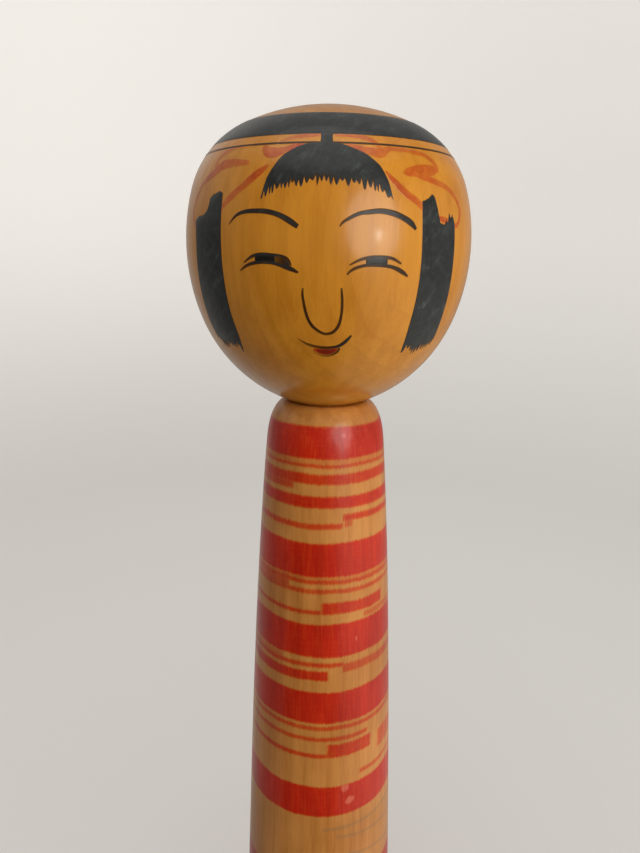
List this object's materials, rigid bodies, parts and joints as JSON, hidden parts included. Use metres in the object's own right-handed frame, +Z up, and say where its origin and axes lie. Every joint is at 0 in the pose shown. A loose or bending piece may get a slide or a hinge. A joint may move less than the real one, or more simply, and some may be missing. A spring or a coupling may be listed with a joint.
{
  "type": "kokeshi doll",
  "caption": "Turned wooden doll with a round painted head that twists in a socket on a slim striped body with a flat base.",
  "frame": {"origin": "centre of the base, on the surface that the doll stands on", "axes": "+Z up along the turning axis, -Y towards the face, +X to a viewer's right when facing it"},
  "size_m": [0.0622, 0.0622, 0.24],
  "materials": {
    "head_wood": "waxed amber wood, satin",
    "body_wood": "waxed pale wood under turned bands of red dye, satin",
    "black_ink": "brushed black ink on waxed wood, satin",
    "red_dye": "brushed red dye on waxed wood, satin"
  },
  "bodies": {
    "body": {"body": "body_wood"},
    "head": {"head": "head_wood"}
  },
  "joints": [
    {"name": "head_turn", "type": "hinge", "parent": "body", "child": "head", "pos_m": [0, 0, 0.177], "axis": [0, 0, 1], "continuous": true}
  ]
}
